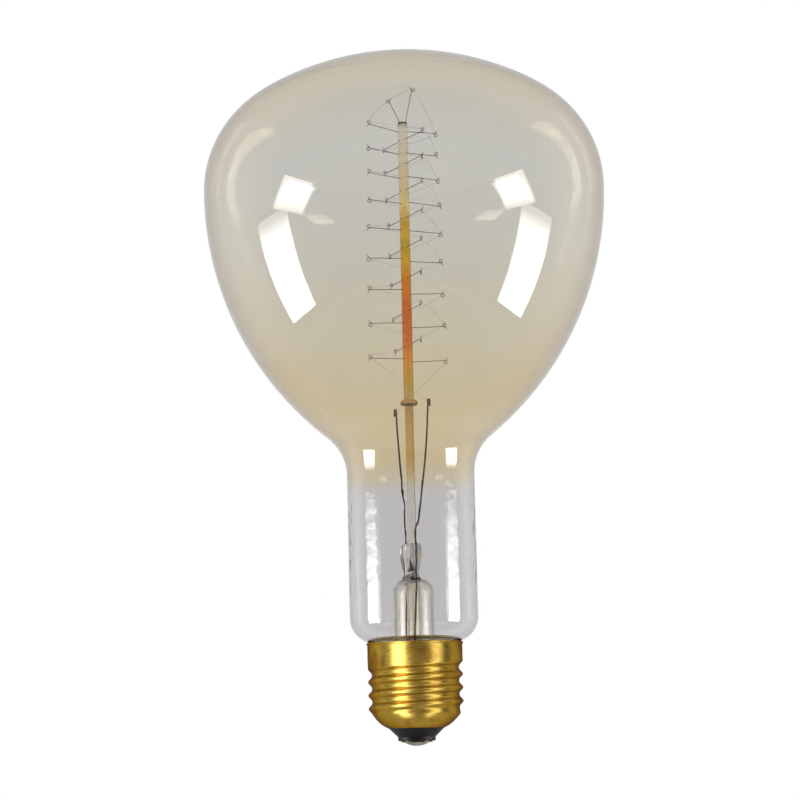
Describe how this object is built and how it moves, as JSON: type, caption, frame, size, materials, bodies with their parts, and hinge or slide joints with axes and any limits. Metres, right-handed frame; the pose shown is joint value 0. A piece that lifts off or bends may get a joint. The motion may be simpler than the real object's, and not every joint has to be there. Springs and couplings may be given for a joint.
{
  "type": "decorative filament light bulb",
  "caption": "Mushroom-shaped decorative filament bulb on a long neck, with a cage filament wound over anchor wires on a glass rod and a brass screw cap.",
  "frame": {"origin": "lowest point of the centre contact, on the bulb's axis, which is the plane that the screw cap is gauged from", "axes": "+Z along the bulb's axis from the screw cap towards the globe; -Y faces the viewer of the picture; +X to the viewer's right"},
  "size_m": [0.1132, 0.1132, 0.1932],
  "materials": {
    "lustre_glass": "clear soda-lime glass with a pale amber lustre",
    "stem_glass": "clear lead glass, flame worked",
    "rod_glass": "drawn glass rod, tinted by the lustre seen through it",
    "anchor_wire": "drawn wire, oxidised dark",
    "filament_wire": "fine drawn filament wire, grey",
    "nickel_wire": "nickel wire, heat-browned",
    "copper_wire": "copper-clad wire, oxidised by the flame",
    "cap_brass": "rolled brass sheet, bright",
    "insulator_glass": "black glass insulator, semi-gloss, opaque",
    "contact_brass": "stamped brass disc",
    "solder": "soft solder, dull grey",
    "cement": "baked capping cement, matt"
  },
  "bodies": {
    "root": {"glass_envelope": "lustre_glass", "flare_tube": "stem_glass", "exhaust_tube": "stem_glass", "lower_rod": "rod_glass", "support_button": "rod_glass", "anchor_rod": "rod_glass", "anchor_wires_left": "anchor_wire", "anchor_wires_right": "anchor_wire", "anchor_wires_front": "anchor_wire", "anchor_wires_back": "anchor_wire", "anchor_wires_top": "anchor_wire", "filament": "filament_wire", "inner_lead_right": "nickel_wire", "inner_lead_left": "nickel_wire", "seal_wire_right": "copper_wire", "seal_wire_left": "copper_wire", "outer_lead_contact": "copper_wire", "outer_lead_shell": "copper_wire", "cap_shell": "cap_brass", "cap_insulator": "insulator_glass", "centre_contact": "contact_brass", "contact_solder": "solder", "side_solder": "solder", "capping_cement": "cement"}
  },
  "joints": []
}
